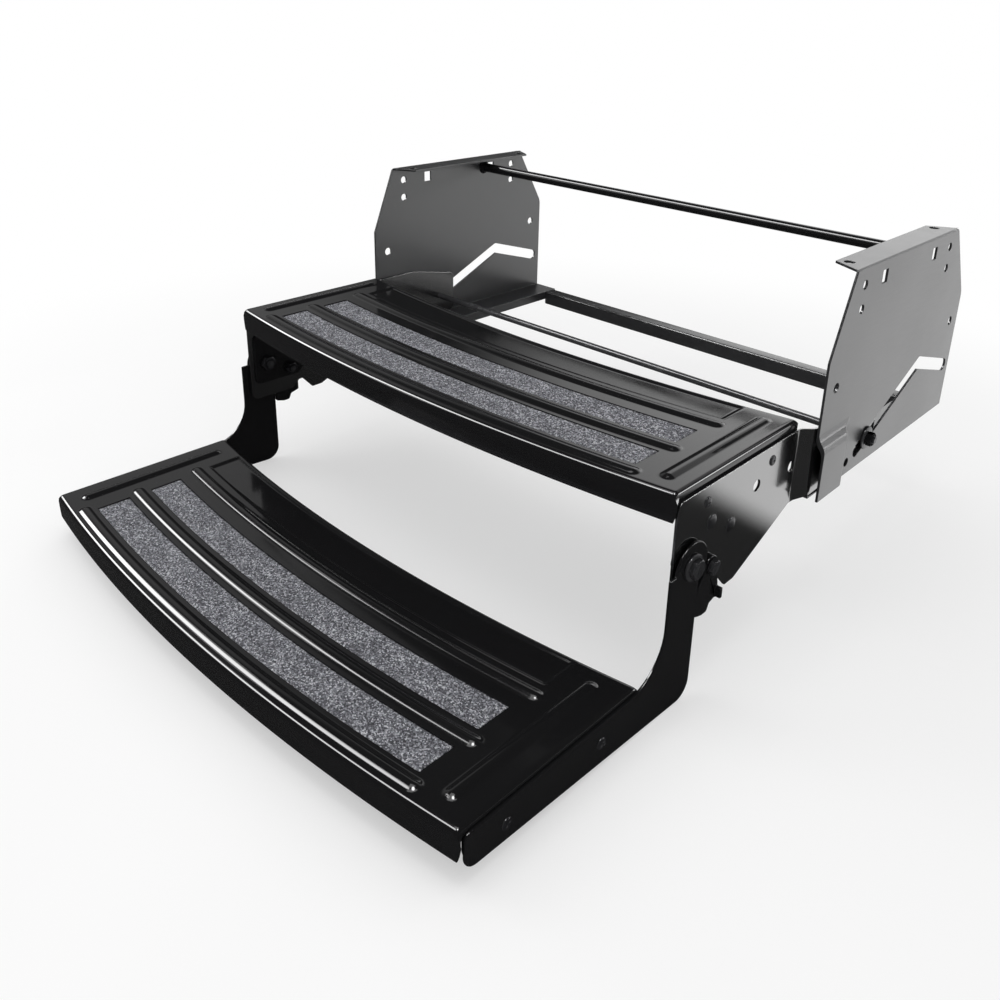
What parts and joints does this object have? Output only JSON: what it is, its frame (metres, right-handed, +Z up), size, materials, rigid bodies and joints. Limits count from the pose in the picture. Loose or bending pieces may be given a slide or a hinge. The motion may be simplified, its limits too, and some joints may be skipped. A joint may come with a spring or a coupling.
{
  "type": "caravan pull out step",
  "caption": "Folding pull-out entry step: a hanger frame with cam slots carries a sliding upper tread, and a lower tread that swings over to stow.",
  "frame": {"origin": "centre of the four top-flange bolt holes, on the plane of the flanges' upper faces", "axes": "+X across the step to the right-hand plate, -Y the way the step pulls out, +Z up"},
  "size_m": [0.6592, 0.7799, 0.3402],
  "materials": {
    "frame_paint": "semi-gloss black paint",
    "black_paint": "gloss black paint",
    "hardware": "black fasteners",
    "bush": "plain bearing",
    "grit": "grey anti-slip grit"
  },
  "bodies": {
    "frame": {"left_hanger_plate": "frame_paint", "right_hanger_plate": "frame_paint", "top_cross_rod": "black_paint", "rear_cross_bar": "black_paint"},
    "carriage": {"upper_tread": "black_paint", "upper_front_grit_strip": "grit", "upper_rear_grit_strip": "grit", "left_carriage_bracket": "black_paint", "right_carriage_bracket": "black_paint", "upper_tread_rivets": "hardware", "guide_rod": "hardware", "guide_rollers": "hardware", "guide_washers": "hardware", "guide_nuts": "hardware", "left_doubler_plate": "black_paint", "right_doubler_plate": "black_paint", "doubler_bolts": "hardware", "doubler_nuts": "hardware", "pivot_bolts": "hardware", "pivot_spacers": "hardware", "pivot_washers": "hardware", "pivot_nuts": "hardware", "latch_bolts": "hardware", "latch_nuts": "hardware"},
    "lower_step": {"lower_tread": "black_paint", "lower_front_grit_strip": "grit", "lower_rear_grit_strip": "grit", "left_lower_arm": "black_paint", "right_lower_arm": "black_paint", "lower_tread_rivets": "hardware", "pivot_bushes": "bush"},
    "left_latch": {"left_latch_lever": "black_paint"},
    "right_latch": {"right_latch_lever": "black_paint"}
  },
  "joints": [
    {"name": "carriage_slide", "type": "slide", "parent": "frame", "child": "carriage", "axis": [0, 0.9171, 0.3987], "range_m": [0, 0.124]},
    {"name": "lower_fold", "type": "hinge", "parent": "carriage", "child": "lower_step", "pos_m": [0, -0.334, -0.208], "axis": [-1, 0, 0], "range_deg": [0, 180]},
    {"name": "left_latch_swing", "type": "hinge", "parent": "carriage", "child": "left_latch", "pos_m": [-0.307, -0.303, -0.222], "axis": [1, 0, 0], "range_deg": [0, 35]},
    {"name": "right_latch_swing", "type": "hinge", "parent": "carriage", "child": "right_latch", "pos_m": [0.307, -0.303, -0.222], "axis": [1, 0, 0], "range_deg": [0, 35]}
  ]
}
